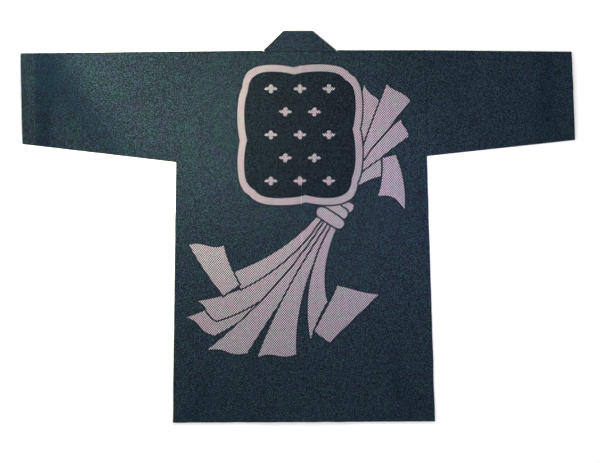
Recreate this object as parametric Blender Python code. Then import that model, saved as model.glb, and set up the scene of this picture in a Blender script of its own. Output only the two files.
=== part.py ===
"""Happi coat, a straight-cut festival coat of indigo cotton, lying flat with its back upwards.

Two body widths, two sleeves and one collar band, each a wall of cloth cut as a flat grid and
then folded into place. Metres, +Z up, origin on the surface under the middle of the coat.
Lengths are measured as the coat lies: out from the middle of the neck, and down from the
shoulder line towards the hem.
"""

import math
from collections import namedtuple

import bmesh
import bpy

# Cloth
CLOTH_WALL = 0.0015  # body and sleeves
BAND_WALL = 0.0030  # collar band, doubled round its own turned-in edges
SEAM_GAP = 0.0003  # between two pieces at a seam
FOLD_AIR = 0.0006  # between the two layers of a piece at its fold

# Heights of the upper cloth's face above the surface
EDGE_TOP = 2 * CLOTH_WALL + FOLD_AIR  # at a fold or a side seam
NECK_TOP = 0.0052  # where it passes over the collar band
MIDDLE_TOP = 0.0058  # over the air that stays between back and front
EASE = 0.032  # distance from an edge over which the cloth rises
NECK_EASE = 0.045  # and from the collar band outwards

# Where the corners of each side lie: distances out, and drops below the shoulder line
Side = namedtuple(
    "Side",
    "out armhole armhole_drop cuff cuff_drop cuff_foot cuff_foot_drop"
    " underarm underarm_drop hem hem_drop band_top",
)
LEFT = Side(
    out=-1,
    armhole=0.2976,
    armhole_drop=0.0030,
    cuff=0.6553,
    cuff_drop=0.0068,
    cuff_foot=0.6506,
    cuff_foot_drop=0.2205,
    underarm=0.2908,
    underarm_drop=0.2627,
    hem=0.2983,
    hem_drop=0.8743,
    band_top=0.0396,
)
RIGHT = Side(
    out=1,
    armhole=0.2957,
    armhole_drop=0.0000,
    cuff=0.6367,
    cuff_drop=0.0035,
    cuff_foot=0.6447,
    cuff_foot_drop=0.2108,
    underarm=0.2981,
    underarm_drop=0.2486,
    hem=0.3171,
    hem_drop=0.8713,
    band_top=0.0300,
)
HEM_DROP_MIDDLE = (LEFT.hem_drop + RIGHT.hem_drop) / 2
BACK_SEAM_DRIFT = 0.0094  # the back seam's foot lies this far to the right of the neck
FRONT_HEM_RISE = 0.002  # the front hem lies this far inside the back hem

# The neck and the collar band
NECK_HALF = 0.0880  # out to where the band's slanting fold meets the shoulder
BAND_WIDTH = 0.0460
BAND_RISE = 0.0448  # the band's folded edge above the shoulder line
BAND_REACH = BAND_WALL + FOLD_AIR / 2  # from the axis of the band's fold to its outer face
BAND_NECK_DROP = 0.030  # where the front bands have turned straight down

# The origin is under the middle of the coat's outline.
MIDDLE_X = (RIGHT.cuff_foot - LEFT.cuff) / 2
MIDDLE_Y = (BAND_RISE - LEFT.hem_drop) / 2

# Soft troughs and ridges in the upper cloth. x is to the right of the neck, turn is in degrees
# from the X axis, width is to where a ridge has sunk to about a third, and height is up.
Fold = namedtuple("Fold", "x drop turn length width height")
FOLDS = (
    Fold(-0.600, 0.110, 89, 0.420, 0.020, -0.0015),
    Fold(-0.560, 0.115, 87, 0.400, 0.045, -0.0006),
    Fold(-0.640, 0.100, 90, 0.300, 0.016, 0.0007),
    Fold(-0.470, 0.080, 86, 0.330, 0.040, 0.0010),
    Fold(-0.400, 0.205, 16, 0.230, 0.020, 0.0010),
    Fold(-0.235, 0.200, 48, 0.230, 0.022, 0.0012),
    Fold(-0.268, 0.330, 78, 0.260, 0.020, 0.0010),
    Fold(0.575, 0.100, 92, 0.360, 0.028, -0.0011),
    Fold(0.480, 0.110, 97, 0.300, 0.032, 0.0009),
    Fold(0.390, 0.190, -14, 0.220, 0.020, 0.0010),
    Fold(0.244, 0.195, -46, 0.220, 0.022, 0.0012),
    Fold(0.272, 0.330, -80, 0.300, 0.022, 0.0010),
    Fold(-0.170, 0.660, 84, 0.420, 0.030, 0.0011),
    Fold(0.185, 0.640, -85, 0.460, 0.032, 0.0012),
    Fold(0.236, 0.780, -72, 0.200, 0.024, -0.0008),
    Fold(-0.232, 0.800, 74, 0.180, 0.022, -0.0008),
)

# How finely each piece is divided
NECK_COLUMNS = 5
WIDTH_COLUMNS = 11
SIDE_CROWDING = 1.5  # the power that draws a width's columns together towards its side
FRONT_ROWS = 3
FOLD_ROWS = 5
YOKE_ROWS = 12
SKIRT_ROWS = 23
SLEEVE_COLUMNS = 17
SLEEVE_ROWS = 11
SLEEVE_UNDER_ROWS = 2
BAND_COLUMNS = 2
BAND_LENGTHS = 6
SHARP_DEGREES = 40
WELD = 1e-6

INDIGO = (0.020, 0.036, 0.046, 1.0)
COTTON_ROUGHNESS = 0.9


def smooth(share):
    """0 below 0, 1 above 1, and an S-shaped rise between."""
    share = min(max(share, 0.0), 1.0)
    return share * share * (3 - 2 * share)


def mix(first, last, share):
    return first + (last - first) * share


def crowded_at_ends(step, steps):
    """Shares from 0 to 1, closest together near both ends."""
    return 0.5 - 0.5 * math.cos(math.pi * step / steps)


def fold_height(x, drop):
    """Height that the troughs and ridges add at a point."""
    height = 0.0
    for fold in FOLDS:
        turn = math.radians(fold.turn)
        right, down = x - fold.x, drop - fold.drop
        along = right * math.cos(turn) - down * math.sin(turn)
        across = right * math.sin(turn) + down * math.cos(turn)
        taper = 1 - (2 * along / fold.length) ** 2
        if taper > 0:
            height += fold.height * taper * math.exp(-((across / fold.width) ** 2))
    return height


def rise(x, drop, lift):
    """How far the upper cloth stands above its edges, where lift is the share of its full rise."""
    return (MIDDLE_TOP - EDGE_TOP + fold_height(x, drop)) * lift


def neck_lift(out):
    """Share of the full rise that the collar band keeps up, by distance out from the middle."""
    full = (NECK_TOP - EDGE_TOP) / (MIDDLE_TOP - EDGE_TOP)
    return full * smooth((NECK_HALF + NECK_EASE - out) / NECK_EASE)


def shoulder_radius(out):
    """Radius of the body's shoulder fold, which opens round the band near the neck."""
    return mix(EDGE_TOP, MIDDLE_TOP, neck_lift(out)) / 2


def shoulder_drop(side, out):
    return side.armhole_drop * out / side.armhole


def hem_drop(side, share):
    """Drop of the hem, by share of the way from the back seam to the side seam."""
    return mix(HEM_DROP_MIDDLE, side.hem_drop, share)


def side_edge(side, drop):
    """Distance out to the armhole seam above the underarm, and to the side seam below it."""
    if drop < side.underarm_drop:
        share = (drop - side.armhole_drop) / (side.underarm_drop - side.armhole_drop)
        return mix(side.armhole, side.underarm, max(share, 0.0))
    share = (drop - side.underarm_drop) / (side.hem_drop - side.underarm_drop)
    return mix(side.underarm, side.hem, share)


def drift(drop):
    """How far the middle of the coat lies to the right of the neck at this drop."""
    return BACK_SEAM_DRIFT * drop / HEM_DROP_MIDDLE


def body_lift(side, x, drop, share):
    """The body's lift: none at its closed edges, but for what the band keeps up."""
    out = side.out * x
    closed = 1 - smooth((side.underarm_drop - drop) / EASE)
    from_side = 1 - closed * (1 - smooth((side_edge(side, drop) - out) / EASE))
    from_shoulder = drop - shoulder_drop(side, out) - shoulder_radius(out)
    from_end = min(from_shoulder, hem_drop(side, share) - drop)
    return from_side * max(smooth(from_end / EASE), neck_lift(out - side.out * drift(drop)))


def cut_cloth(name, columns, rows, place, wall, turned, cut_away=None, tube=False):
    """One cut piece: a grid of cloth put where place(column, row) says, with an inward wall.

    turned is for a grid that place lays with its face inwards, cut_away(column, row) is true
    for the cells that the cutter takes out, and a tube's first and last rows are joined.
    """
    bm = bmesh.new()
    bmesh.ops.create_grid(bm, x_segments=columns, y_segments=rows, size=0.5)

    def cell(point):
        """Column and row of a point of the grid, which is one unit across."""
        return (point.x + 0.5) * columns, (point.y + 0.5) * rows

    if cut_away:
        spare = [face for face in bm.faces if cut_away(*cell(face.calc_center_median()))]
        bmesh.ops.delete(bm, geom=spare, context="FACES")
    for vertex in bm.verts:
        x, y, z = place(*map(round, cell(vertex.co)))
        vertex.co = (x - MIDDLE_X, y - MIDDLE_Y, z)
    if tube:
        bmesh.ops.remove_doubles(bm, verts=bm.verts, dist=WELD)
    if turned:
        bmesh.ops.reverse_faces(bm, faces=bm.faces)
    mesh = bpy.data.meshes.new(name)
    bm.to_mesh(mesh)
    bm.free()
    mesh.shade_smooth()
    mesh.set_sharp_from_angle(angle=math.radians(SHARP_DEGREES))
    piece = bpy.data.objects.new(name, mesh)
    bpy.context.scene.collection.objects.link(piece)
    thickness = piece.modifiers.new("wall", "SOLIDIFY")
    thickness.thickness = wall
    thickness.offset = -1
    thickness.use_even_offset = True
    thickness.use_quality_normals = True
    return piece


def body_width(name, side):
    """One body width: front hem, shoulder fold, back hem, with the neck cut out of its front."""
    columns = NECK_COLUMNS + WIDTH_COLUMNS
    under_rows = FRONT_ROWS + FOLD_ROWS
    rows = under_rows + YOKE_ROWS + SKIRT_ROWS
    neck_share = NECK_HALF / side.armhole
    yoke_share = (side.underarm_drop - side.armhole_drop) / (side.hem_drop - side.armhole_drop)
    front_waist_drop = (side.underarm_drop + side.hem_drop) / 2

    def width_share(column):
        """Share of the width from the back seam, closer together near the side."""
        if column <= NECK_COLUMNS:
            return neck_share * column / NECK_COLUMNS
        left = 1 - (column - NECK_COLUMNS) / WIDTH_COLUMNS
        return 1 - (1 - neck_share) * left**SIDE_CROWDING

    def fold_drop(share):
        """Drop at which the shoulder fold begins, front and back."""
        out = share * side.armhole
        return shoulder_drop(side, out) + shoulder_radius(out)

    def back_point(share, row):
        if row <= YOKE_ROWS:
            length_share = yoke_share * crowded_at_ends(row, YOKE_ROWS)
        else:
            length_share = mix(yoke_share, 1, (row - YOKE_ROWS) / SKIRT_ROWS)
        drop = mix(fold_drop(share), hem_drop(side, share), length_share)
        middle = drift(drop) + side.out * SEAM_GAP / 2
        x = mix(middle, side.out * side_edge(side, drop), share)
        return x, -drop, EDGE_TOP + rise(x, drop, body_lift(side, x, drop, share))

    def front_point(share, row):
        hem = hem_drop(side, share) - FRONT_HEM_RISE
        drop = (hem, front_waist_drop, side.underarm_drop, fold_drop(share))[row]
        band_seam = side.out * NECK_HALF + drift(drop)
        from_band = (share - neck_share) / (1 - neck_share)
        return mix(band_seam, side.out * side_edge(side, drop), from_band), -drop, 0.0

    def place(column, row):
        share = width_share(column)
        if row >= under_rows:
            return back_point(share, row - under_rows)
        x, y, z = front_point(share, min(row, FRONT_ROWS))
        turn = math.pi * max(row - FRONT_ROWS, 0) / FOLD_ROWS
        radius = shoulder_radius(share * side.armhole)
        x = mix(x, back_point(share, 0)[0], turn / math.pi)
        return x, y + radius * math.sin(turn), z + radius * (1 - math.cos(turn))

    def in_neck(column, row):
        return column < NECK_COLUMNS and row < under_rows

    return cut_cloth(name, columns, rows, place, CLOTH_WALL, side.out > 0, in_neck)


def sleeve(name, side):
    """One sleeve: a piece folded at the shoulder line and closed below into a flat tube."""
    radius = EDGE_TOP / 2
    rows = SLEEVE_UNDER_ROWS + FOLD_ROWS + SLEEVE_ROWS + FOLD_ROWS

    def ring(row, top, foot):
        """Drop, turn and lift round the flat tube, from the foot of its underside.

        The turn is 0 on the underside and half a circle on the upper side.
        """
        if row <= SLEEVE_UNDER_ROWS:
            return mix(foot, top, row / SLEEVE_UNDER_ROWS), 0.0, 0.0
        row -= SLEEVE_UNDER_ROWS
        if row < FOLD_ROWS:
            turn = math.pi * row / FOLD_ROWS
            return top - radius * math.sin(turn), turn, 0.0
        row -= FOLD_ROWS
        if row <= SLEEVE_ROWS:
            drop = mix(top, foot, crowded_at_ends(row, SLEEVE_ROWS))
            lift = smooth((drop - top) / EASE) * smooth((foot - drop) / EASE)
            return drop, math.pi, lift
        turn = math.pi * (1 - (row - SLEEVE_ROWS) / FOLD_ROWS)
        return foot + radius * math.sin(turn), turn, 0.0

    def place(column, row):
        share = column / SLEEVE_COLUMNS
        top = mix(side.armhole_drop, side.cuff_drop, share) + radius
        foot = mix(side.underarm_drop, side.cuff_foot_drop, share) - radius
        drop, turn, lift = ring(row % rows, top, foot)
        seam = side_edge(side, min(drop, side.underarm_drop)) + SEAM_GAP
        cuff_share = (drop - side.cuff_drop) / (side.cuff_foot_drop - side.cuff_drop)
        x = side.out * mix(seam, mix(side.cuff, side.cuff_foot, cuff_share), share)
        return x, -drop, radius * (1 - math.cos(turn)) + rise(x, drop, lift)

    turned = side.out > 0
    return cut_cloth(name, SLEEVE_COLUMNS, rows, place, CLOTH_WALL, turned, tube=True)


def band_sections(side):
    """The band from behind the neck to one front hem: each section's seam and free edge.

    Behind the neck the band faces up. It turns over along a slanting line at the neck corner,
    so that it faces down on the fronts, as the rest of the coat's outside does there. There the
    wall leans towards the neck seam, so the seam edge rises by as much.
    """
    seam_y = SEAM_GAP - NECK_TOP / 2
    slant = math.atan2(BAND_RISE - seam_y, NECK_HALF - side.band_top)
    fold_half = BAND_REACH / math.sin(slant)
    least_lean = math.pi / FOLD_ROWS / 4
    sections = []
    for step in range(FOLD_ROWS + 1):
        turn = math.pi * (1 - step / FOLD_ROWS)
        inset = fold_half * (1 - math.sin(turn))
        lean = BAND_WALL * math.cos(slant) * max(math.sin(turn), math.sin(least_lean))
        seam_x = side.out * (NECK_HALF - SEAM_GAP - inset - lean / math.tan(slant))
        free_x = side.out * (side.band_top - inset)
        z = BAND_REACH * (1 - math.cos(turn))
        sections.append(((seam_x, seam_y + lean, z), (free_x, BAND_RISE, z)))
    hem = HEM_DROP_MIDDLE - FRONT_HEM_RISE
    for step in range(BAND_LENGTHS + 1):
        drop = mix(BAND_NECK_DROP, hem, step / BAND_LENGTHS)
        seam_x = drift(drop) + side.out * (NECK_HALF - SEAM_GAP)
        free_x = seam_x - side.out * BAND_WIDTH
        sections.append(((seam_x, -drop, 0.0), (free_x, -drop, 0.0)))
    return sections


def collar_band(name):
    """The band in one strip, from the left front hem round the neck to the right front hem."""
    sections = band_sections(LEFT)[::-1] + band_sections(RIGHT)

    def place(column, row):
        return [mix(*ends, column / BAND_COLUMNS) for ends in zip(*sections[row])]

    return cut_cloth(name, BAND_COLUMNS, len(sections) - 1, place, BAND_WALL, turned=True)


def dyed_cotton(name, colour):
    """Plain-weave cotton, quite matt."""
    material = bpy.data.materials.new(name)
    material.use_nodes = True
    shader = material.node_tree.nodes["Principled BSDF"]
    shader.inputs["Base Color"].default_value = colour
    shader.inputs["Roughness"].default_value = COTTON_ROUGHNESS
    shader.inputs["Metallic"].default_value = 0.0
    return material


def main():
    for old in list(bpy.data.objects):
        bpy.data.objects.remove(old)
    pieces = (
        body_width("body_left", LEFT),
        body_width("body_right", RIGHT),
        sleeve("sleeve_left", LEFT),
        sleeve("sleeve_right", RIGHT),
        collar_band("collar_band"),
    )
    for piece in pieces:
        piece.data.materials.append(dyed_cotton(piece.name + "_indigo_cotton", INDIGO))


main()
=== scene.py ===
"""Looks of a happi coat of indigo cotton, with a bundle of ribbons printed on its back.

It lies flat with its back upwards. Metres, +Z up, origin on the surface under the middle of the
coat. Places on the coat are given as it lies: x to the right of the middle of the neck, and
drop down from the shoulder line towards the hem.
"""

import math
from collections import namedtuple

import bmesh
import bpy
from mathutils import Matrix, Vector, noise
from mathutils.bvhtree import BVHTree


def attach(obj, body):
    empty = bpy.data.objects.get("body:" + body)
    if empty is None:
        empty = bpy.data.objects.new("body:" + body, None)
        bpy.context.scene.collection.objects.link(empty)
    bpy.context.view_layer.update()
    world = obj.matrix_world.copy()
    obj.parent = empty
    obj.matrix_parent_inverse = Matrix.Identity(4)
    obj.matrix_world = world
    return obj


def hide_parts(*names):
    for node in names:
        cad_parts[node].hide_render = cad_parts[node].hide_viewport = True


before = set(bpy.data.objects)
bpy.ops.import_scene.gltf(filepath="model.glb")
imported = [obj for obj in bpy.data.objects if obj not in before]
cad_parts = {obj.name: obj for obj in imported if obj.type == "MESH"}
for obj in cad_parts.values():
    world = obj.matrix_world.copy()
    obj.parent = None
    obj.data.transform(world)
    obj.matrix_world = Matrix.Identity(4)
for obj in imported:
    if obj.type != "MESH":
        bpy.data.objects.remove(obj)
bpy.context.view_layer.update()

# The studio. A plain white floor in even daylight, and soft boxes that face down: a broad warm one
# over the left, a small low one by the left sleeve's top edge, and a faint cool one to the right.
NECK_X = 0.0053  # the middle of the neck, from which x and drop are measured
NECK_Y = 0.41475
PIXEL = 0.0023453  # side of one of the photograph's 600 x 463 pixels, on the cloth
NECK_PIXEL = (299.9, 50.0)
VIEW_MIDDLE = (300.0, 231.5)  # in pixels, as the neck's place is
VIEW_WIDTH = 600 * PIXEL
LENS = 85.0
SENSOR = 36.0
CLOTH_HEIGHT = 0.005
DAYLIGHT = 1.02
FLOOR_HALF = 8.0
FLOOR_DEPTH = 0.0006  # the floor lies this far under the coat, clear of its lowest faces
SoftBox = namedtuple("SoftBox", "name x drop height size watts colour")
SOFT_BOXES = (
    SoftBox("warm_soft_box", -0.32, 0.12, 0.46, 0.24, 7.0, (1.0, 0.91, 0.60)),
    SoftBox("small_soft_box", -0.53, -0.01, 0.16, 0.08, 0.50, (1.0, 0.93, 0.72)),
    SoftBox("cool_soft_box", 0.25, 0.37, 0.34, 0.20, 0.80, (0.66, 0.50, 1.0)),
)


def linear(hex_colour):
    """Linear red, green, blue and alpha of an sRGB hex value."""
    shares = [int(hex_colour[place:place + 2], 16) / 255 for place in (1, 3, 5)]
    return (*(s / 12.92 if s < 0.04045 else ((s + 0.055) / 1.055) ** 2.4 for s in shares), 1.0)


def on_coat(x, drop, height):
    """A place on the coat, in the model's frame."""
    return Vector((NECK_X + x, NECK_Y - drop, height))


def new_material(name):
    """A material with its node tree and its shader node."""
    material = bpy.data.materials.new(name)
    material.use_nodes = True
    return material, material.node_tree, material.node_tree.nodes["Principled BSDF"]


def new_object(name, mesh_or_data, material=None):
    """An object in the scene, with its material."""
    made = bpy.data.objects.new(name, mesh_or_data)
    bpy.context.scene.collection.objects.link(made)
    if material:
        made.data.materials.append(material)
    return made


camera = new_object("camera", bpy.data.cameras.new("camera"))
camera.data.lens = LENS
camera.data.sensor_width = SENSOR
middle_x, middle_drop = [(VIEW_MIDDLE[i] - NECK_PIXEL[i]) * PIXEL for i in (0, 1)]
camera.location = on_coat(middle_x, middle_drop, CLOTH_HEIGHT + VIEW_WIDTH * LENS / SENSOR)
bpy.context.scene.camera = camera
bpy.context.scene.view_settings.view_transform = "Standard"

world = bpy.data.worlds.new("daylight")
world.use_nodes = True
world.node_tree.nodes["Background"].inputs["Color"].default_value = (1.0, 1.0, 1.0, 1.0)
world.node_tree.nodes["Background"].inputs["Strength"].default_value = DAYLIGHT
bpy.context.scene.world = world

# Matt white paint on a board, which throws soft light back and shows no gloss.
white_paint, _, shader = new_material("matt_white_paint")
shader.inputs["Base Color"].default_value = linear("#fafafa")
shader.inputs["Roughness"].default_value = 0.9
bm = bmesh.new()
bmesh.ops.create_grid(bm, x_segments=1, y_segments=1, size=FLOOR_HALF)
bmesh.ops.translate(bm, verts=bm.verts, vec=(0, 0, -FLOOR_DEPTH))
mesh = bpy.data.meshes.new("floor")
bm.to_mesh(mesh)
bm.free()
new_object("floor", mesh, white_paint)

for box in SOFT_BOXES:
    light = new_object(box.name, bpy.data.lights.new(box.name, "AREA"))
    light.location = on_coat(box.x, box.drop, box.height)
    light.data.size = box.size
    light.data.energy = box.watts
    light.data.color = box.colour
    light.visible_camera = False

# Body widths. Each is one length of plain-weave cotton, dyed with indigo in the piece, which runs
# from the back hem over the shoulder to the front hem, and is sewn to its twin down the back.
WALL = 0.0008
EDGE_TOP = 0.0036  # height of the upper cloth's face at a fold or a side seam
NECK_TOP = 0.0052  # where it passes over the collar band
MIDDLE_TOP = 0.0058  # over the air that stays between back and front
EASE = 0.032  # distance from an edge over which the cloth rises
NECK_EASE = 0.045
NECK_HALF = 0.0880
SEAM_GAP = 0.0003
HEM_DROP_MIDDLE = 0.8728
BACK_SEAM_DRIFT = 0.0094  # the back seam's foot lies this far to the right of the neck
FRONT_HEM_RISE = 0.002
CELL = 0.0045  # spacing of the back's rows of points
UNDER_CELL = 0.008
FOLD_ROWS = 8
MARKS = (0.0, 0.00015, 0.0005, 0.0011, 0.002, 0.0032)  # rows of points beside an edge
MERGE_DISTANCE = 1e-6
HEM_DEPTH = 0.0105  # turned-in hem, from its edge to its stitching
HEM_STEP = 0.0005
STEP_HALF = 0.0006
BACK_SEAM_DIP = (0.0002, 0.0012)  # how far cloth sinks at an edge, and over what distance
SIDE_SEAM_DIP = (0.0010, 0.0020)
HEM_DIP = (0.0005, 0.0010)
UNDER_SIDE_DIP = (0.0006, 0.0020)
UNDER_SLACK = 0.0006  # air under the cloth that lies on the floor
HEM_WANDER = 0.0006  # how far a sewn edge strays from its line
SIDE_WANDER = 0.0008
SLACK_HEIGHT = 0.00022
PUCKER_HEIGHT = 0.00012
PUCKER_REACH = 0.012
RIPPLE_START = 0.006  # the ripple grows to its full height over this distance from an edge
HOLLOW_DEPTH = 0.0019  # from which a trough has its full shade

Side = namedtuple(
    "Side",
    "name out armhole armhole_drop cuff cuff_drop cuff_foot cuff_foot_drop"
    " underarm underarm_drop hem hem_drop band_top",
)
LEFT = Side(
    name="left",
    out=-1,
    armhole=0.2976,
    armhole_drop=0.0030,
    cuff=0.6553,
    cuff_drop=0.0068,
    cuff_foot=0.6506,
    cuff_foot_drop=0.2205,
    underarm=0.2908,
    underarm_drop=0.2627,
    hem=0.2983,
    hem_drop=0.8743,
    band_top=0.0396,
)
RIGHT = Side(
    name="right",
    out=1,
    armhole=0.2957,
    armhole_drop=0.0000,
    cuff=0.6376,
    cuff_drop=0.0035,
    cuff_foot=0.6457,
    cuff_foot_drop=0.2108,
    underarm=0.2981,
    underarm_drop=0.2486,
    hem=0.3171,
    hem_drop=0.8713,
    band_top=0.0300,
)

# Soft troughs and ridges. Turn is in degrees from the X axis, width is to where a ridge has sunk
# to about a third, and height is up.
Fold = namedtuple("Fold", "x drop turn length width height")
FOLDS = (
    Fold(-0.600, 0.110, 89, 0.420, 0.020, -0.0015),
    Fold(-0.560, 0.115, 87, 0.400, 0.045, -0.0006),
    Fold(-0.640, 0.100, 90, 0.300, 0.016, 0.0007),
    Fold(-0.470, 0.080, 86, 0.330, 0.040, 0.0010),
    Fold(-0.400, 0.205, 16, 0.230, 0.020, 0.0010),
    Fold(-0.235, 0.200, 48, 0.230, 0.022, 0.0012),
    Fold(-0.268, 0.330, 78, 0.260, 0.020, 0.0010),
    Fold(0.575, 0.100, 92, 0.360, 0.028, -0.0011),
    Fold(0.480, 0.110, 97, 0.300, 0.032, 0.0009),
    Fold(0.390, 0.190, -14, 0.220, 0.020, 0.0010),
    Fold(0.244, 0.195, -46, 0.220, 0.022, 0.0012),
    Fold(0.272, 0.330, -80, 0.300, 0.022, 0.0010),
    Fold(-0.170, 0.660, 84, 0.420, 0.030, 0.0011),
    Fold(0.185, 0.640, -85, 0.460, 0.032, 0.0012),
    Fold(0.236, 0.780, -72, 0.200, 0.024, -0.0008),
    Fold(-0.232, 0.800, 74, 0.180, 0.022, -0.0008),
    Fold(-0.634, 0.110, 90, 0.400, 0.013, 0.0024),
    Fold(-0.604, 0.110, 90, 0.440, 0.013, -0.0014),
    Fold(-0.508, 0.150, 124, 0.460, 0.045, -0.0013),
    Fold(-0.596, 0.020, 90, 0.240, 0.022, -0.0012),
    Fold(-0.330, 0.060, 62, 0.120, 0.010, 0.0003),
    Fold(0.335, 0.070, -58, 0.130, 0.010, 0.0003),
    Fold(-0.150, 0.085, 20, 0.150, 0.011, 0.0003),
    Fold(0.175, 0.060, -24, 0.140, 0.010, 0.0002),
    Fold(-0.120, 0.560, 97, 0.200, 0.012, -0.0003),
    Fold(0.095, 0.740, 83, 0.170, 0.013, 0.0003),
)


def smooth(share):
    """0 below 0, 1 above 1, and an S-shaped rise between."""
    share = min(max(share, 0.0), 1.0)
    return share * share * (3 - 2 * share)


def mix(first, last, share):
    return first + (last - first) * share


def waver(across, along, pattern):
    """Soft noise from -1 to 1, about one wave to each unit. Each pattern is another run of it."""
    return noise.noise(Vector((across, along, pattern)))


def dip(distance, depth, reach):
    """How far a rounded edge has sunk at a distance from it."""
    if distance >= reach:
        return 0.0
    inward = 1 - max(distance, 0.0) / reach
    return depth * (1 - math.sqrt(1 - inward * inward))


def fold_heights(x, drop):
    """What the ridges add and what the troughs take at a point."""
    up = down = 0.0
    for fold in FOLDS:
        turn = math.radians(fold.turn)
        right, below = x - fold.x, drop - fold.drop
        along = right * math.cos(turn) - below * math.sin(turn)
        taper = 1 - (2 * along / fold.length) ** 2
        if taper > 0:
            across = right * math.sin(turn) + below * math.cos(turn)
            height = fold.height * taper * math.exp(-((across / fold.width) ** 2))
            up += max(height, 0.0)
            down += min(height, 0.0)
    return up, down


def drift(drop):
    """How far the middle of the coat lies to the right of the neck at this drop."""
    return BACK_SEAM_DRIFT * drop / HEM_DROP_MIDDLE


def neck_lift(out):
    """Share of the full rise that the collar band keeps up, by distance out from the middle."""
    full = (NECK_TOP - EDGE_TOP) / (MIDDLE_TOP - EDGE_TOP)
    return full * smooth((NECK_HALF + NECK_EASE - out) / NECK_EASE)


def shoulder_radius(out):
    """Radius of the body's shoulder fold, which opens round the band near the neck."""
    return mix(EDGE_TOP, MIDDLE_TOP, neck_lift(out)) / 2


def shoulder_drop(side, out):
    return side.armhole_drop * out / side.armhole


def hem_drop(side, share):
    """Drop of the hem, by share of the way from the back seam to the side seam."""
    return mix(HEM_DROP_MIDDLE, side.hem_drop, share) + HEM_WANDER * waver(9 * share, side.out, 0)


def side_edge(side, drop):
    """Distance out to the armhole seam above the underarm, and to the side seam below it."""
    if drop < side.underarm_drop:
        share = (drop - side.armhole_drop) / (side.underarm_drop - side.armhole_drop)
        return mix(side.armhole, side.underarm, max(share, 0.0))
    share = (drop - side.underarm_drop) / (side.hem_drop - side.underarm_drop)
    wander = SIDE_WANDER * waver(16 * drop, side.out, 3) * smooth(8 * share)
    return mix(side.underarm, side.hem, share) + wander


def ripple(x, drop, inside):
    """Unevenness of cloth that was pressed and has lain since, with puckers beside its seams."""
    slack = waver(7 * x, 4 * drop, 1)
    slack += 0.5 * waver(19 * x, 13 * drop, 5)
    pucker = waver(70 * x, 70 * drop, 8) * math.exp(-inside / PUCKER_REACH)
    return (SLACK_HEIGHT * slack + PUCKER_HEIGHT * pucker) * smooth(inside / RIPPLE_START)


def body_place(side, x, drop):
    """Share of the width from the back seam, and distances in from the side and the hem."""
    middle = side.out * drift(drop)
    width = side_edge(side, drop) - middle
    out = side.out * x - middle
    share = out / width
    return share, width - out, hem_drop(side, share) - drop


def body_top(x, drop):
    """Height of the back's outer face, and how deep in a trough the point lies, for its painted shade."""
    side = RIGHT if x > drift(drop) else LEFT
    share, from_side, from_hem = body_place(side, x, drop)
    out = side.out * x
    from_seam = side.out * (x - drift(drop))
    closed = 1 - smooth((side.underarm_drop - drop) / EASE)
    side_lift = 1 - closed * (1 - smooth(from_side / EASE))
    from_shoulder = drop - shoulder_drop(side, out) - shoulder_radius(out)
    end_lift = smooth(min(from_shoulder, from_hem) / EASE)
    lift = side_lift * max(end_lift, neck_lift(from_seam))
    up, down = fold_heights(x, drop)
    height = EDGE_TOP + (MIDDLE_TOP - EDGE_TOP + up + down) * lift
    height += ripple(x, drop, min(from_seam, from_side, from_hem, from_shoulder))
    height += HEM_STEP * smooth((HEM_DEPTH + STEP_HALF - from_hem) / (2 * STEP_HALF))
    height -= dip(from_seam, *BACK_SEAM_DIP) + dip(from_side, *SIDE_SEAM_DIP)
    height -= dip(from_hem, *HEM_DIP)
    return height, min(-down / HOLLOW_DEPTH, 1.0)


def stations(length, cell, tight):
    """Distances from 0 to length about a cell apart, with the tight ones among them."""
    steps = round(length / cell)
    even = [length * step / steps for step in range(steps + 1)]
    kept = [place for place in even if all(abs(place - mark) > cell / 2 for mark in tight)]
    return sorted([*kept, *tight])


def step_marks(depth):
    """Rows of points over the step where a turned-in hem of some depth ends."""
    return [depth + STEP_HALF * step for step in (-2, -1, 0, 1, 2)]


def cut_cloth(name, columns, rows, place, wall, turned, material, cut_away=None, tube=False):
    """One cut piece: a grid of cloth put where place(column, row) says, with an inward wall.

    turned is for a grid that place lays with its face inwards, cut_away(column, row) is true
    for the cells that the cutter takes out, and a tube's first and last rows are joined.
    """
    bm = bmesh.new()
    bmesh.ops.create_grid(bm, x_segments=columns, y_segments=rows, size=0.5)
    hollow = bm.verts.layers.float.new("hollow")

    def cell(point):
        """Column and row of a point of the grid, which is one unit across."""
        return (point.x + 0.5) * columns, (point.y + 0.5) * rows

    if cut_away:
        spare = [face for face in bm.faces if cut_away(*cell(face.calc_center_median()))]
        bmesh.ops.delete(bm, geom=spare, context="FACES")
    for vertex in bm.verts:
        x, drop, height, depth = place(*map(round, cell(vertex.co)))
        vertex.co = on_coat(x, drop, height)
        vertex[hollow] = depth
    if tube:
        bmesh.ops.remove_doubles(bm, verts=bm.verts, dist=MERGE_DISTANCE)
    if turned:
        bmesh.ops.reverse_faces(bm, faces=bm.faces)
    mesh = bpy.data.meshes.new(name)
    bm.to_mesh(mesh)
    bm.free()
    mesh.shade_smooth()
    piece = new_object(name, mesh, material)
    thickness = piece.modifiers.new("wall", "SOLIDIFY")
    thickness.thickness = wall
    thickness.offset = -1
    thickness.use_quality_normals = True
    return piece


def add_node(tree, kind, values=(), **settings):
    """A node with its settings, and with its inputs set or linked by name or number."""
    made = tree.nodes.new(kind)
    for name, value in settings.items():
        setattr(made, name, value)
    for name, value in dict(values).items():
        if isinstance(value, bpy.types.NodeSocket):
            tree.links.new(value, made.inputs[name])
        else:
            made.inputs[name].default_value = value
    return made
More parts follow.
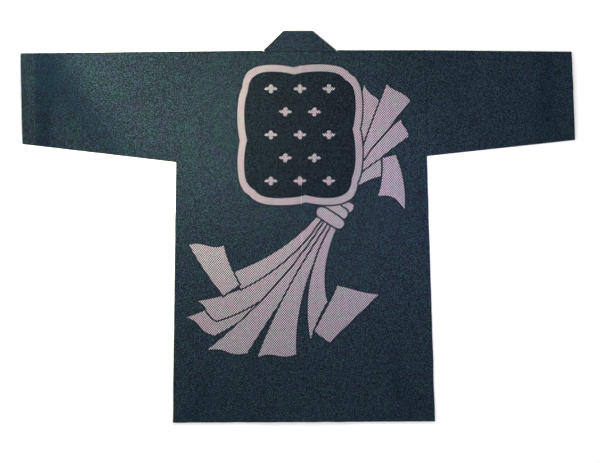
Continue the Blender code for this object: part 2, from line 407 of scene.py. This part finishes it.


# Cotton sheeting, piece-dyed with indigo. The dye takes unevenly, so it goes from navy to teal
# in clouds, and slubs in the yarn show as paler flecks. It is matt, with a faint nap. Real threads
# lie about 0.6 mm apart and slubs are as fine, so both are drawn as coarse as they need to show.
# In the troughs of the folds the colour is darkened and tinted blue: this is painted shade.
WEAVE_ACROSS = 0.00267
WEAVE_ALONG = 0.0030
WEAVE_CONTRAST = 1.7
FLECK = 0.0023
FLECK_CONTRAST = 2.35
STRAY_COLOUR = 0.08
CLOUD = 0.030
FADED_PATCH = 0.25
RELIEF_STRENGTH = 0.6
COTTON_RELIEF = 0.0006


def weave(tree):
    """Threads that pass over and under each other: a chequer of soft squares, from -1 to 1."""
    place = add_node(tree, "ShaderNodeTexCoord").outputs["Object"]
    axes = add_node(tree, "ShaderNodeSeparateXYZ", {0: place})
    waves = []
    for axis, spacing in (("X", WEAVE_ACROSS), ("Y", WEAVE_ALONG)):
        angle = add_node(tree, "ShaderNodeMath", {
            0: axes.outputs[axis], 1: math.pi / spacing}, operation="MULTIPLY")
        waves.append(add_node(tree, "ShaderNodeMath", {0: angle.outputs[0]}, operation="SINE").outputs[0])
    return add_node(tree, "ShaderNodeMath", {0: waves[0], 1: waves[1]}, operation="MULTIPLY").outputs[0]


def speckle(tree, contrast):
    """Flecks that vary by the contrast, with some stray colour, askew to the pattern's own grid."""
    place = add_node(tree, "ShaderNodeTexCoord").outputs["Object"]
    askew = add_node(tree, "ShaderNodeMapping", {"Vector": place, "Rotation": (0.6, 0.7, 0.5)})
    fleck = add_node(tree, "ShaderNodeTexNoise", {
        "Vector": askew.outputs["Vector"], "Scale": 1 / FLECK, "Detail": 0.0})
    step = add_node(tree, "ShaderNodeMapRange", {
        "Value": fleck.outputs["Fac"], "From Min": 0.38, "From Max": 0.66, "To Min": -1.0, "To Max": 1.2})
    grey = add_node(tree, "ShaderNodeMath", {0: contrast, 1: step.outputs[0]}, operation="POWER")
    colour = add_node(tree, "ShaderNodeVectorMath", {
        0: fleck.outputs["Color"], 1: (STRAY_COLOUR,) * 3, 2: (1 - STRAY_COLOUR / 2,) * 3,
    }, operation="MULTIPLY_ADD")
    both = add_node(tree, "ShaderNodeVectorMath", {
        0: grey.outputs[0], 1: colour.outputs[0]}, operation="MULTIPLY")
    return both.outputs[0]


cotton, tree, shader = new_material("indigo_dyed_cotton")
place = add_node(tree, "ShaderNodeTexCoord").outputs["Object"]
clouds = add_node(tree, "ShaderNodeTexNoise", {"Vector": place, "Scale": 1 / CLOUD, "Detail": 2.5})
dye = add_node(tree, "ShaderNodeValToRGB", {"Fac": clouds.outputs["Fac"]})
dye.color_ramp.elements[0].position = 0.36
dye.color_ramp.elements[0].color = linear("#131d29")
dye.color_ramp.elements[1].position = 0.64
dye.color_ramp.elements[1].color = linear("#112127")
fading = add_node(tree, "ShaderNodeTexNoise", {"Vector": place, "Scale": 1 / FADED_PATCH, "Detail": 2.0})
faded = add_node(tree, "ShaderNodeMapRange", {
    "Value": fading.outputs["Fac"], "From Min": 0.3, "From Max": 0.7, "To Min": 0.90, "To Max": 1.10})
# Painted shade: the colour is darkened and tinted blue by how deep the point lies in a fold's trough.
hollow = add_node(tree, "ShaderNodeAttribute", attribute_name="hollow")
sunk = add_node(tree, "ShaderNodeMix", {
    0: hollow.outputs["Fac"], 6: linear("#ffffff"), 7: linear("#7fb6d2")}, data_type="RGBA")
fading_and_painted_shade = add_node(tree, "ShaderNodeVectorMath", {
    0: faded.outputs[0], 1: sunk.outputs[2]}, operation="MULTIPLY")
flecked = add_node(tree, "ShaderNodeVectorMath", {
    0: speckle(tree, FLECK_CONTRAST), 1: fading_and_painted_shade.outputs[0]}, operation="MULTIPLY")
dyed = add_node(tree, "ShaderNodeVectorMath", {
    0: dye.outputs["Color"], 1: flecked.outputs[0]}, operation="MULTIPLY")
threads = weave(tree)
lit = add_node(tree, "ShaderNodeMath", {0: WEAVE_CONTRAST, 1: threads}, operation="POWER")
colour = add_node(tree, "ShaderNodeVectorMath", {
    0: dyed.outputs[0], 1: lit.outputs[0]}, operation="MULTIPLY")
relief = add_node(tree, "ShaderNodeBump", {
    "Height": threads, "Strength": RELIEF_STRENGTH, "Distance": COTTON_RELIEF})
tree.links.new(colour.outputs[0], shader.inputs["Base Color"])
tree.links.new(relief.outputs["Normal"], shader.inputs["Normal"])
shader.inputs["Roughness"].default_value = 0.85
shader.inputs["Specular IOR Level"].default_value = 0.08
shader.inputs["Sheen Weight"].default_value = 0.04
shader.inputs["Sheen Roughness"].default_value = 0.5


def body_width(side):
    """One body width: front hem, shoulder fold, back hem, with the neck cut out of its front."""
    width = side.armhole
    across = stations(width, CELL, [*MARKS, NECK_HALF, *(width - mark for mark in MARKS)])
    neck_column = across.index(NECK_HALF)
    length = side.hem_drop
    hem_marks = [*MARKS, *step_marks(HEM_DEPTH)]
    down = stations(length, CELL, [0.0, *(length - mark for mark in hem_marks)])
    under = stations(length, UNDER_CELL, [*hem_marks, length])
    under_rows = len(under) - 1 + FOLD_ROWS
    neck_share = NECK_HALF / width

    def fold_drop(share):
        """Drop at which the shoulder fold begins, front and back."""
        out = share * width
        return shoulder_drop(side, out) + shoulder_radius(out)

    def back_point(share, row):
        drop = mix(fold_drop(share), hem_drop(side, share), down[row] / length)
        middle = drift(drop) + side.out * SEAM_GAP / 2
        x = mix(middle, side.out * side_edge(side, drop), share)
        return (x, drop, *body_top(x, drop))

    def front_point(share, row):
        drop = mix(hem_drop(side, share) - FRONT_HEM_RISE, fold_drop(share), under[row] / length)
        band_seam = side.out * NECK_HALF + drift(drop)
        from_band = (share - neck_share) / (1 - neck_share)
        edge = side.out * side_edge(side, drop)
        x = mix(band_seam, edge, from_band)
        slack = waver(8 * x, 5 * drop, 11)
        from_side = abs(edge - x)
        height = UNDER_SLACK * smooth(2 * slack) * smooth(min(from_side, under[row]) / EASE)
        return x, drop, height + dip(from_side, *UNDER_SIDE_DIP), 0.0

    def place(column, row):
        share = across[column] / width
        if row >= under_rows:
            return back_point(share, row - under_rows)
        x, drop, height, _ = front_point(share, min(row, len(under) - 1))
        turn = math.pi * max(row - len(under) + 1, 0) / FOLD_ROWS
        radius = shoulder_radius(share * width)
        x = mix(x, back_point(share, 0)[0], turn / math.pi)
        return x, drop - radius * math.sin(turn), height + radius * (1 - math.cos(turn)), 0.0

    def in_neck(column, row):
        return column < neck_column and row < under_rows

    rows = under_rows + len(down) - 1
    return cut_cloth(
        "body_cloth_" + side.name, len(across) - 1, rows, place, WALL, side.out > 0, cotton, in_neck)


bodies = {}
for side in (LEFT, RIGHT):
    node = "body_" + side.name
    piece = bodies[side] = body_width(side)
    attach(piece, "root")
    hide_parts(node)

# Sleeves. Each is one piece folded along the shoulder line and closed below into a flat tube,
# sewn to the body at the armhole, with a deep turned-in hem at the cuff.
CUFF_DEPTH = 0.0280
SLEEVE_CELL = 0.0045
SLEEVE_UNDER_CELL = 0.009
ARMHOLE_DIP = (0.0008, 0.0020)
CUFF_DIP = (0.0004, 0.0010)
CUFF_WANDER = 0.0006
UNDER_RISE = 6  # the underside's slack grows over one part in so many of the sleeve's depth


def sleeve_top(side, x, drop, top, foot, from_seam, from_cuff):
    """Height of a sleeve's upper face, and how deep in a trough the point lies, for its painted shade."""
    lift = smooth((drop - top) / EASE) * smooth((foot - drop) / EASE)
    up, down = fold_heights(x, drop)
    height = EDGE_TOP + (MIDDLE_TOP - EDGE_TOP + up + down) * lift
    height += ripple(x, drop, min(drop - top, foot - drop, from_seam, from_cuff))
    height += HEM_STEP * smooth((CUFF_DEPTH + STEP_HALF - from_cuff) / (2 * STEP_HALF))
    height -= dip(from_seam, *ARMHOLE_DIP) + dip(from_cuff, *CUFF_DIP)
    return height, min(-down / HOLLOW_DEPTH, 1.0)


def sleeve(side):
    radius = EDGE_TOP / 2
    length = side.cuff - side.armhole
    height = side.underarm_drop - side.armhole_drop - 2 * radius
    cuff_marks = [*MARKS, *step_marks(CUFF_DEPTH)]
    along = stations(length, SLEEVE_CELL, [*MARKS, *(length - mark for mark in cuff_marks)])
    upper = stations(height, SLEEVE_CELL, [0.0, height])
    under = stations(height, SLEEVE_UNDER_CELL, [0.0, height])
    ring = [(1 - place / height, 0.0) for place in under]
    ring += [(0.0, math.pi * step / FOLD_ROWS) for step in range(1, FOLD_ROWS)]
    ring += [(place / height, math.pi) for place in upper]
    ring += [(1.0, math.pi * (1 - step / FOLD_ROWS)) for step in range(1, FOLD_ROWS)]

    def place(column, row):
        share = along[column] / length
        top = mix(side.armhole_drop, side.cuff_drop, share) + radius
        foot = mix(side.underarm_drop, side.cuff_foot_drop, share) - radius
        down, turn = ring[row % len(ring)]
        drop = mix(top, foot, down) + radius * math.sin(turn) * (1 if down > 0.5 else -1)
        wander = CUFF_WANDER * waver(30 * drop, side.out, 6) * share
        seam = side_edge(side, min(drop, side.underarm_drop)) + SEAM_GAP
        cuff_share = (drop - side.cuff_drop) / (side.cuff_foot_drop - side.cuff_drop)
        x = side.out * (mix(seam, mix(side.cuff, side.cuff_foot, cuff_share), share) + wander)
        from_seam, from_cuff = along[column], length - along[column]
        if turn == math.pi:
            return (x, drop, *sleeve_top(side, x, drop, top, foot, from_seam, from_cuff))
        slack = waver(9 * x, 9 * drop, 12)
        lift = smooth(min(down, 1 - down) * UNDER_RISE) * (turn == 0)
        ends = dip(from_seam, *ARMHOLE_DIP) + dip(from_cuff, *CUFF_DIP)
        height = radius * (1 - math.cos(turn)) + UNDER_SLACK * smooth(2 * slack) * lift
        return x, drop, height + ends * math.cos(turn), 0.0

    turned = side.out > 0
    return cut_cloth(
        "sleeve_cloth_" + side.name, len(along) - 1, len(ring), place, WALL, turned, cotton, tube=True)


sleeves = {}
for side in (LEFT, RIGHT):
    piece = sleeves[side] = sleeve(side)
    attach(piece, "root")
    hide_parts("sleeve_" + side.name)

# Collar band. One long strip of the same cotton, doubled round its turned-in edges, which runs
# up the left front, round the back of the neck and down the right front.
BAND_WALL = 0.0030
BAND_WIDTH = 0.0460
BAND_RISE = 0.0448  # the band's folded edge above the shoulder line
BAND_REACH = 0.0033  # from the axis of the band's fold to its outer face
BAND_NECK_DROP = 0.030
BAND_TURNS = 16
BAND_CELL = 0.006
BAND_LEAST_LEAN = math.pi / 20  # the turn whose lean the seam keeps where the band lies flat
BAND_BEVEL = 0.0011
BEVEL_SEGMENTS = 3
BEVEL_DEGREES = 60
BAND_SLACK = 0.0002


def band_sections(side):
    """The band from behind the neck to one front hem: each section's seam and free edge.

    Behind the neck it faces up. It turns over along a slanting line at the neck corner, so that
    it faces down on the fronts, as the rest of the coat's outside does there.
    """
    seam_rise = SEAM_GAP - NECK_TOP / 2
    slant = math.atan2(BAND_RISE - seam_rise, NECK_HALF - side.band_top)
    fold_half = BAND_REACH / math.sin(slant)
    sections = []
    for step in range(BAND_TURNS + 1):
        turn = math.pi * (1 - step / BAND_TURNS)
        inset = fold_half * (1 - math.sin(turn))
        lean = BAND_WALL * math.cos(slant) * max(math.sin(turn), math.sin(BAND_LEAST_LEAN))
        seam_x = side.out * (NECK_HALF - SEAM_GAP - inset - lean / math.tan(slant))
        height = BAND_REACH * (1 - math.cos(turn))
        free = Vector((side.out * (side.band_top - inset), -BAND_RISE, height))
        sections.append((Vector((seam_x, -seam_rise - lean, height)), free))
    for drop in (BAND_NECK_DROP, HEM_DROP_MIDDLE - FRONT_HEM_RISE):
        seam_x = drift(drop) + side.out * (NECK_HALF - SEAM_GAP)
        sections.append((Vector((seam_x, drop, 0)), Vector((seam_x - side.out * BAND_WIDTH, drop, 0))))
    return sections


def with_steps_between(sections):
    """The sections with more between them, about a cell apart."""
    filled = []
    for first, last in zip(sections, sections[1:]):
        steps = max(round(max((b - a).length for a, b in zip(first, last)) / BAND_CELL), 1)
        filled += [[a.lerp(b, step / steps) for a, b in zip(first, last)] for step in range(steps)]
    return [*filled, sections[-1]]


sections = with_steps_between(band_sections(LEFT)[::-1] + band_sections(RIGHT))
band_columns = round(BAND_WIDTH / BAND_CELL)


def band_place(column, row):
    seam, free = sections[row]
    x, drop, height = seam.lerp(free, column / band_columns)
    facing_up = height > BAND_REACH
    slack = BAND_SLACK * waver(30 * x, 12 * drop, 4)
    return x, drop, height + (slack if facing_up else abs(slack)), 0.0


band = cut_cloth(
    "collar_band_cloth", band_columns, len(sections) - 1, band_place, BAND_WALL, True, cotton)
rounding = band.modifiers.new("folded_edges", "BEVEL")
rounding.width = BAND_BEVEL
rounding.segments = BEVEL_SEGMENTS
rounding.limit_method = "ANGLE"
rounding.angle_limit = math.radians(BEVEL_DEGREES)
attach(band, "root")
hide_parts("collar_band")

# The print. A bundle of pleated ribbons, tied round the middle, as on festival coats: each is
# printed in pale pigment paste, which stays on the threads that stand highest. It stops short of
# its neighbour, so that a line of bare cloth parts them.
PASTE = 0.00006  # height of the lowest layer above the cloth
PASTE_LAYER = 0.00004
PASTE_DEPTH = 0.0006  # how deep the paste reaches into the cloth
PASTE_CONTRAST = 1.12
PASTE_PATCH = 0.022
PASTE_RELIEF = 0.0003
BARE_RELIEF = 0.0004
BARE_LINE = 0.0040  # bare cloth beside each printed shape
PRINT_CELL = 0.004
LEAST_ROWS = 32  # of cells along the shortest ribbon, so that round ends stay round
SHARP_DEGREES = 40
CUT_DISTANCE = 1e-7  # within which a point counts as on the cut
PRINTED, BARE = 0, 1  # the two materials of a print: its own, and the bare cotton beside it

# Heading, bend and cut are in degrees: heading at the start, from the right towards the hem, how
# far it turns on the way, and the slant of the end. Widths are at the start, middle and end. The
# end's line waves to one side, and bows out past its corners or, below 0, in.
Ribbon = namedtuple(
    "Ribbon", "x drop heading bend length start middle end cut wave bow", defaults=(0.0, 0.0, 0.0))
RIBBONS_BELOW = (
    Ribbon(0.058, 0.400, 121, 37, 0.390, 0.008, 0.048, 0.064, 34, -0.004),
    Ribbon(0.054, 0.396, 115, 53, 0.360, 0.009, 0.040, 0.054, 31, -0.003),
    Ribbon(0.048, 0.390, 127, 31, 0.252, 0.009, 0.028, 0.043, 11),
    Ribbon(-0.161, 0.563, 236, 10, 0.119, 0.045, 0.055, 0.073, -25, -0.004),
    Ribbon(0.064, 0.402, 121, 13, 0.386, 0.010, 0.015, 0.072, 39, -0.005),
    Ribbon(0.074, 0.408, 124, -23, 0.336, 0.010, 0.016, 0.087, 15, -0.004),
    Ribbon(0.083, 0.410, 119, -37, 0.229, 0.011, 0.024, 0.052, 58),
    Ribbon(0.052, 0.673, 306, 3, 0.139, 0.044, 0.064, 0.088, 27, -0.001, -0.003),
)
RIBBONS_ABOVE = (
    Ribbon(0.131, 0.290, 273, -6, 0.172, 0.006, 0.012, 0.012),
    Ribbon(0.136, 0.270, 275, 12, 0.172, 0.008, 0.024, 0.046, -29, 0.001, -0.003),
    Ribbon(0.130, 0.290, 296, 4, 0.215, 0.006, 0.031, 0.066, -5, 0.002, 0.002),
    Ribbon(0.130, 0.300, 308, 13, 0.165, 0.006, 0.032, 0.042, -15, 0.002),
    Ribbon(0.135, 0.311, 320, 16, 0.067, 0.014, 0.024, 0.036, -26),
    Ribbon(0.209, 0.250, 76, 22, 0.108, 0.031, 0.049, 0.066, -19, 0.000, -0.013),
)
WRAPS = (
    Ribbon(0.100, 0.359, 33, 0, 0.028, 0.020, 0.020, 0.020),
    Ribbon(0.0545, 0.3545, 33, 0, 0.066, 0.025, 0.025, 0.025),
    Ribbon(0.0408, 0.3738, 33, 0, 0.073, 0.0255, 0.0255, 0.0255),
)

# Pale pigment paste is matt, a little uneven in tint, and leaves the hollows of the weave dark.
paste, tree, shader = new_material("pale_pigment_paste")
threads = weave(tree)
raised = add_node(tree, "ShaderNodeMapRange", {"Value": threads, "From Min": 0.02, "From Max": 0.18})
relief = add_node(tree, "ShaderNodeBump", {
    "Height": threads, "Strength": RELIEF_STRENGTH, "Distance": PASTE_RELIEF})
place = add_node(tree, "ShaderNodeTexCoord").outputs["Object"]
patches = add_node(tree, "ShaderNodeTexNoise", {"Vector": place, "Scale": 1 / PASTE_PATCH, "Detail": 2.0})
tints = add_node(tree, "ShaderNodeValToRGB", {"Fac": patches.outputs["Fac"]})
tints.color_ramp.elements[0].position = 0.38
tints.color_ramp.elements[0].color = linear("#ababb3")
tints.color_ramp.elements[1].position = 0.62
tints.color_ramp.elements[1].color = linear("#b7a5b8")
pale = add_node(tree, "ShaderNodeVectorMath", {
    0: tints.outputs["Color"], 1: speckle(tree, PASTE_CONTRAST)}, operation="MULTIPLY")
printed = add_node(tree, "ShaderNodeMix", {
    0: raised.outputs[0], 6: linear("#141a22"), 7: pale.outputs[0]}, data_type="RGBA")
tree.links.new(printed.outputs[2], shader.inputs["Base Color"])
tree.links.new(relief.outputs["Normal"], shader.inputs["Normal"])
shader.inputs["Roughness"].default_value = 0.75
shader.inputs["Specular IOR Level"].default_value = 0.12

# The same cotton between two edges of paste, which hold its nap down: dark and without flecks.
bare_cotton, tree, shader = new_material("bare_cotton_between_ribbons")
relief = add_node(tree, "ShaderNodeBump", {
    "Height": weave(tree), "Strength": RELIEF_STRENGTH, "Distance": BARE_RELIEF})
tree.links.new(relief.outputs["Normal"], shader.inputs["Normal"])
shader.inputs["Base Color"].default_value = linear("#181f29")
shader.inputs["Roughness"].default_value = 0.85
shader.inputs["Specular IOR Level"].default_value = 0.08


def ribbon_point(ribbon, share, along, spare):
    """A point of a ribbon, by share across from -1 to 1 and along from 0 to 1, with some to spare."""
    width = mix(mix(ribbon.start, ribbon.middle, along), mix(ribbon.middle, ribbon.end, along), along)
    out = share * (width / 2 + spare)
    distance = ribbon.length * along + spare * (2 * along - 1)
    slant = out * math.tan(math.radians(ribbon.cut))
    edge = ribbon.wave * math.sin(math.pi * share) + ribbon.bow * math.cos(math.pi / 2 * share)
    distance += (slant + edge) * along**3
    heading = math.radians(ribbon.heading)
    turned = math.radians(ribbon.bend) * distance / ribbon.length
    half = turned / 2
    chord = distance * (math.sin(half) / half if half else 1)
    x = ribbon.x + chord * math.cos(heading + half) - out * math.sin(heading + turned)
    drop = ribbon.drop + chord * math.sin(heading + half) + out * math.cos(heading + turned)
    return x, drop


def wrap_point(ribbon, share, along, spare):
    """A point of a wrap round the bundle, which is a short band with round ends."""
    end = abs(2 * along - 1)
    rounded = share * math.sqrt(max(1 - end**5, 0.0))
    x, drop = ribbon_point(ribbon._replace(start=0, middle=0, end=0), 0, along, spare)
    heading = math.radians(ribbon.heading)
    out = rounded * (ribbon.middle / 2 + spare)
    return x - out * math.sin(heading), drop + out * math.cos(heading)


def lay(bm, columns, rows, place, layer, slot):
    """A grid of print in place(across, along), both from 0 to 1, on one of the layers."""
    made = bmesh.ops.create_grid(bm, x_segments=columns, y_segments=rows, size=0.5)["verts"]
    for face in {face for vertex in made for face in vertex.link_faces}:
        face.material_index = slot
    for vertex in made:
        x, drop = place(vertex.co.x + 0.5, vertex.co.y + 0.5)
        vertex.co = (x, drop, PASTE + layer * PASTE_LAYER)


def lay_ribbons(ribbons, point):
    """A mesh of ribbons, each over the line of bare cloth that its neighbour leaves round it."""
    bm = bmesh.new()
    for layer, ribbon in enumerate(ribbons):
        columns = math.ceil(max(ribbon.start, ribbon.middle, ribbon.end) / PRINT_CELL)
        rows = max(math.ceil(ribbon.length / PRINT_CELL), LEAST_ROWS)
        for slot, spare, above in ((BARE, BARE_LINE, 0.0), (PRINTED, 0.0, 0.5)):
            lay(bm, columns, rows, lambda across, along: point(ribbon, 2 * across - 1, along, spare),
                layer + above, slot)
    return bm


def finish_shading(piece):
    """Applies a piece's modifiers, and shades it smooth but for its sharp edges."""
    graph = bpy.context.evaluated_depsgraph_get()
    piece.data = bpy.data.meshes.new_from_object(piece.evaluated_get(graph))
    piece.modifiers.clear()
    piece.data.shade_smooth()
    piece.data.set_sharp_from_angle(angle=math.radians(SHARP_DEGREES))


def print_on_back(name, bm, first_layer, material):
    """Cuts a print at the back seam, and lays each half on its own body width."""
    bmesh.ops.remove_doubles(bm, verts=bm.verts, dist=MERGE_DISTANCE)
    right = Vector((HEM_DROP_MIDDLE, -BACK_SEAM_DRIFT, 0)).normalized()
    for side in (LEFT, RIGHT):
        half = bm.copy()
        for mark in MARKS:
            bmesh.ops.bisect_plane(
                half, geom=[*half.verts, *half.edges, *half.faces], dist=CUT_DISTANCE,
                plane_co=right * side.out * (SEAM_GAP / 2 + mark), plane_no=right * side.out,
                clear_inner=(mark == 0))
        if not half.verts:
            half.free()
            continue
        for vertex in half.verts:
            x, drop, height = vertex.co
            vertex.co = on_coat(x, drop, height + first_layer * PASTE_LAYER + body_top(x, drop)[0])
        half.normal_update()
        bmesh.ops.reverse_faces(half, faces=[face for face in half.faces if face.normal.z < 0])
        mesh = bpy.data.meshes.new(name)
        half.to_mesh(mesh)
        half.free()
        piece = new_object(name + "_" + side.name, mesh, material)
        mesh.materials.append(bare_cotton)
        depth = piece.modifiers.new("depth", "SOLIDIFY")
        depth.thickness = PASTE_DEPTH
        depth.offset = -1
        finish_shading(piece)
        piece.parent = bodies[side]
    bm.free()


print_on_back("ribbons_below", lay_ribbons(RIBBONS_BELOW, ribbon_point), 0, paste)
print_on_back("ribbons_above", lay_ribbons(RIBBONS_ABOVE, ribbon_point), 0, paste)
print_on_back("ribbon_wraps", lay_ribbons(WRAPS, wrap_point), len(RIBBONS_BELOW), paste)

# The badge over the bundle. A lobed ground is printed in black ink inside a pale ring, and set with
# small four-petalled flowers. The ring and the flowers are in the same paste as the ribbons.
BADGE_DROP = 0.1990
BADGE_HALF = (0.1465, 0.1650)
BADGE_SQUARENESS = 5.0
BADGE_LOBES = 8
LOBE_DEPTH = 0.055
BADGE_LAYER = len(RIBBONS_BELOW) + len(WRAPS)
RING_WIDTH = 0.0172
RING_AROUND = 280  # cells round the ring and the ground
RING_ACROSS = 5
BARE_ACROSS = 6
GROUND_ACROSS = 30
GROUND_OVERLAP = 0.0005
FLOWER_HALF = (0.0150, 0.0105)
FLOWER_ROWS = 5
FLOWER_STEP = (0.068, 0.054)
FLOWER_ACROSS = 3
FLOWER_AROUND = 32
PETAL_WAIST = 0.35  # reach between two petals, as a share of a petal's
INK_RELIEF = 0.0003

# Black pigment ink soaks in, so it is matt and the cotton's flecks still show.
ink, tree, shader = new_material("black_pigment_ink")
inked = add_node(tree, "ShaderNodeVectorMath", {
    0: linear("#0c141b")[:3], 1: speckle(tree, FLECK_CONTRAST)}, operation="MULTIPLY")
relief = add_node(tree, "ShaderNodeBump", {
    "Height": weave(tree), "Strength": RELIEF_STRENGTH, "Distance": INK_RELIEF})
tree.links.new(inked.outputs[0], shader.inputs["Base Color"])
tree.links.new(relief.outputs["Normal"], shader.inputs["Normal"])
shader.inputs["Roughness"].default_value = 0.8
shader.inputs["Specular IOR Level"].default_value = 0.045


def badge_point(turn, inset):
    """A point of the badge's outline at a share of the way round, drawn in by some inset."""
    angle = 2 * math.pi * turn
    power = BADGE_SQUARENESS
    across, down = abs(math.cos(angle)) ** power, abs(math.sin(angle)) ** power
    reach = (across / BADGE_HALF[0] ** power + down / BADGE_HALF[1] ** power) ** (-1 / power)
    lobe = math.sqrt(abs(math.sin(BADGE_LOBES / 2 * angle + math.pi / 8)))
    reach = reach * (1 - LOBE_DEPTH * (1 - lobe)) - inset
    return reach * math.cos(angle), BADGE_DROP + reach * math.sin(angle)


def ring_point(out, turn):
    return badge_point(turn, mix(RING_WIDTH, 0, out))


def bare_ring_point(out, turn):
    """A point of the ring with the line of bare cloth round it."""
    return badge_point(turn, mix(RING_WIDTH, -BARE_LINE, out))


def ground_point(out, turn):
    x, drop = badge_point(turn, RING_WIDTH - GROUND_OVERLAP)
    return x * out, mix(BADGE_DROP, drop, out)


def flower_point(x, drop, out, turn):
    angle = 2 * math.pi * turn
    petal = out * (PETAL_WAIST + (1 - PETAL_WAIST) * abs(math.cos(2 * angle)))
    return x + FLOWER_HALF[0] * petal * math.cos(angle), drop + FLOWER_HALF[1] * petal * math.sin(angle)


badge = bmesh.new()
lay(badge, BARE_ACROSS, RING_AROUND, bare_ring_point, 0, BARE)
lay(badge, RING_ACROSS, RING_AROUND, ring_point, 0.5, PRINTED)
print_on_back("badge_ring", badge, BADGE_LAYER, paste)

ground = bmesh.new()
lay(ground, GROUND_ACROSS, RING_AROUND, ground_point, 0, PRINTED)
print_on_back("badge_ground", ground, BADGE_LAYER + 1, ink)

flowers = bmesh.new()
for row in range(FLOWER_ROWS):
    count = 3 - row % 2
    drop = BADGE_DROP + (row - (FLOWER_ROWS - 1) / 2) * FLOWER_STEP[1]
    for column in range(count):
        x = (column - (count - 1) / 2) * FLOWER_STEP[0]
        lay(flowers, FLOWER_ACROSS, FLOWER_AROUND,
            lambda out, turn: flower_point(x, drop, out, turn), 0, PRINTED)
print_on_back("badge_flowers", flowers, BADGE_LAYER + 2, paste)

# Hem stitching. The hems at the back's foot and the deeper ones at the cuffs are turned in, and are
# held down with short running stitches in indigo cotton thread.
STITCH = 0.0030
STITCH_STEP = 0.0044
THREAD = 0.0006
STITCH_INSET = 0.0016  # from a hem's inner edge to its stitches

# Spun cotton thread, dyed darker than the cloth and as matt as it.
thread, tree, shader = new_material("indigo_cotton_thread")
shader.inputs["Base Color"].default_value = linear("#131a22")
shader.inputs["Roughness"].default_value = 0.8
shader.inputs["Specular IOR Level"].default_value = 0.1


def sew(name, piece, start, end):
    """A row of stitches on the top of a piece, between two places given as x and drop."""
    surface = BVHTree.FromObject(piece, bpy.context.evaluated_depsgraph_get())
    first, last = on_coat(*start, 0), on_coat(*end, 0)
    heading = (last - first).to_track_quat("X", "Z").to_matrix().to_4x4()
    bm = bmesh.new()
    count = int((last - first).length / STITCH_STEP)
    for step in range(count):
        above = first.lerp(last, (step + 0.5) / count) + Vector((0, 0, 1))
        hit = surface.ray_cast(above, Vector((0, 0, -1)))[0]
        size = Matrix.Diagonal((STITCH / 2, THREAD / 2, THREAD / 2, 1))
        bmesh.ops.create_uvsphere(
            bm, u_segments=6, v_segments=4, radius=1, matrix=Matrix.Translation(hit) @ heading @ size)
    mesh = bpy.data.meshes.new(name)
    bm.to_mesh(mesh)
    bm.free()
    mesh.shade_smooth()
    new_object(name, mesh, thread).parent = piece


for side in (LEFT, RIGHT):
    foot = HEM_DEPTH - STITCH_INSET
    start = (drift(HEM_DROP_MIDDLE) + side.out * MARKS[-1], HEM_DROP_MIDDLE - foot)
    end = (side.out * (side.hem - MARKS[-1]), side.hem_drop - foot)
    sew("hem_stitches_" + side.name, bodies[side], start, end)
    inset = CUFF_DEPTH - STITCH_INSET
    start = (side.out * (side.cuff - inset), side.cuff_drop + MARKS[-1])
    end = (side.out * (side.cuff_foot - inset), side.cuff_foot_drop - MARKS[-1])
    sew("cuff_stitches_" + side.name, sleeves[side], start, end)

# Neck seam. Behind the neck the edge of the body's cotton is turned up inside the collar band, where
# it closes the slit between the two, and the band's lower edge is stitched down over it.
ALLOWANCE_SIZE = (0.080, 0.012)
ALLOWANCE_HEIGHT = 0.0030
BAND_INSET = 0.0030  # from the band's lower edge to its stitches

bm = bmesh.new()
size = Matrix.Diagonal((*ALLOWANCE_SIZE, WALL, 1))
bmesh.ops.create_cube(bm, size=1, matrix=Matrix.Translation(on_coat(0, 0, ALLOWANCE_HEIGHT)) @ size)
mesh = bpy.data.meshes.new("neck_allowance")
bm.to_mesh(mesh)
bm.free()
new_object("neck_allowance", mesh, cotton).parent = band

band_foot = BAND_INSET - NECK_TOP / 2
sew("band_stitches", band, (-NECK_HALF / 2, -band_foot), (NECK_HALF / 2, -band_foot))
